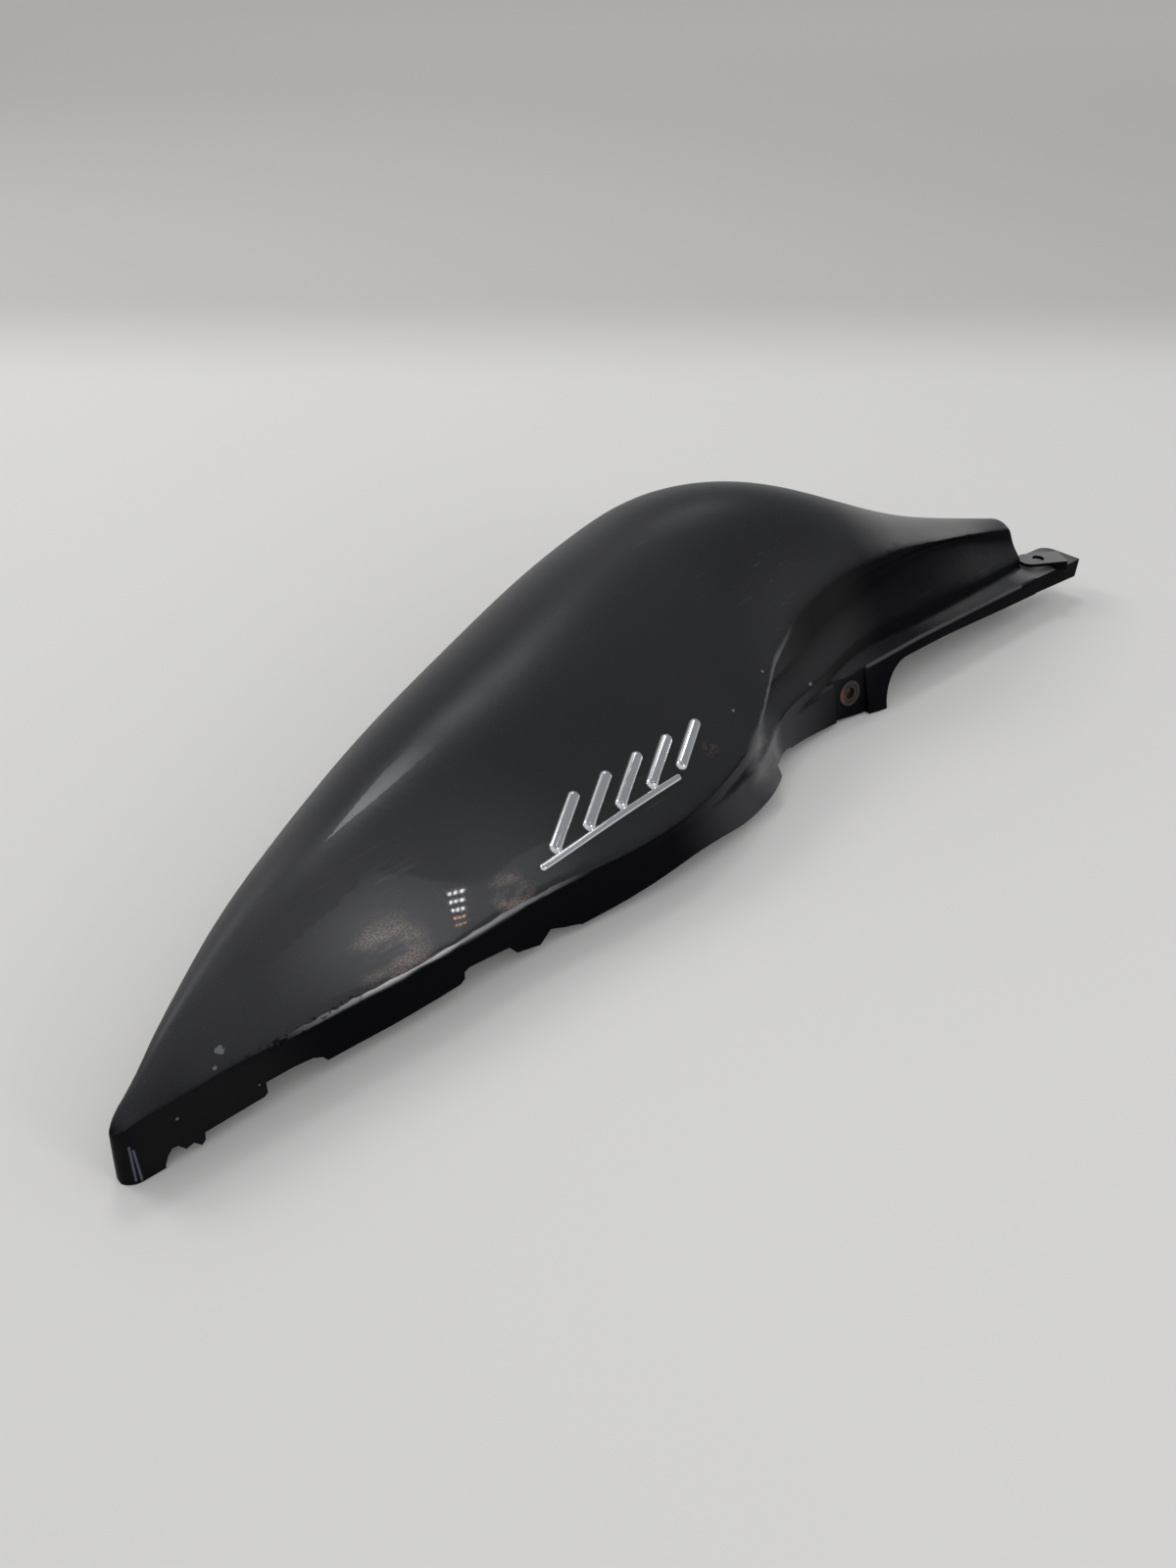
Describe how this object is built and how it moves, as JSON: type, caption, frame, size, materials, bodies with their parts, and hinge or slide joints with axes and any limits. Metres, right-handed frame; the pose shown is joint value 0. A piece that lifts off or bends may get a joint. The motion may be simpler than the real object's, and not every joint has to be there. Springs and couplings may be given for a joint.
{
  "type": "motorcycle rear side panel",
  "caption": "Curved plastic side cover that tapers to a blunt tip, bulges toward the tail and ends in a screw lug; covers the rear side of a scooter's frame.",
  "frame": {"origin": "centre of the bounding box in plan, on the plane that the open rims lie on", "axes": "+X along the panel from the tip to the tail flange, +Y from the creased near side to the far rim, +Z out through the skin"},
  "size_m": [0.628, 0.2066, 0.0989],
  "materials": {
    "panel_plastic": "satin, scuffed",
    "collar_steel": "rusted",
    "emblem_chrome": "polished"
  },
  "bodies": {
    "root": {"side_panel": "panel_plastic", "mount_collar": "collar_steel", "emblem": "emblem_chrome"}
  },
  "joints": []
}
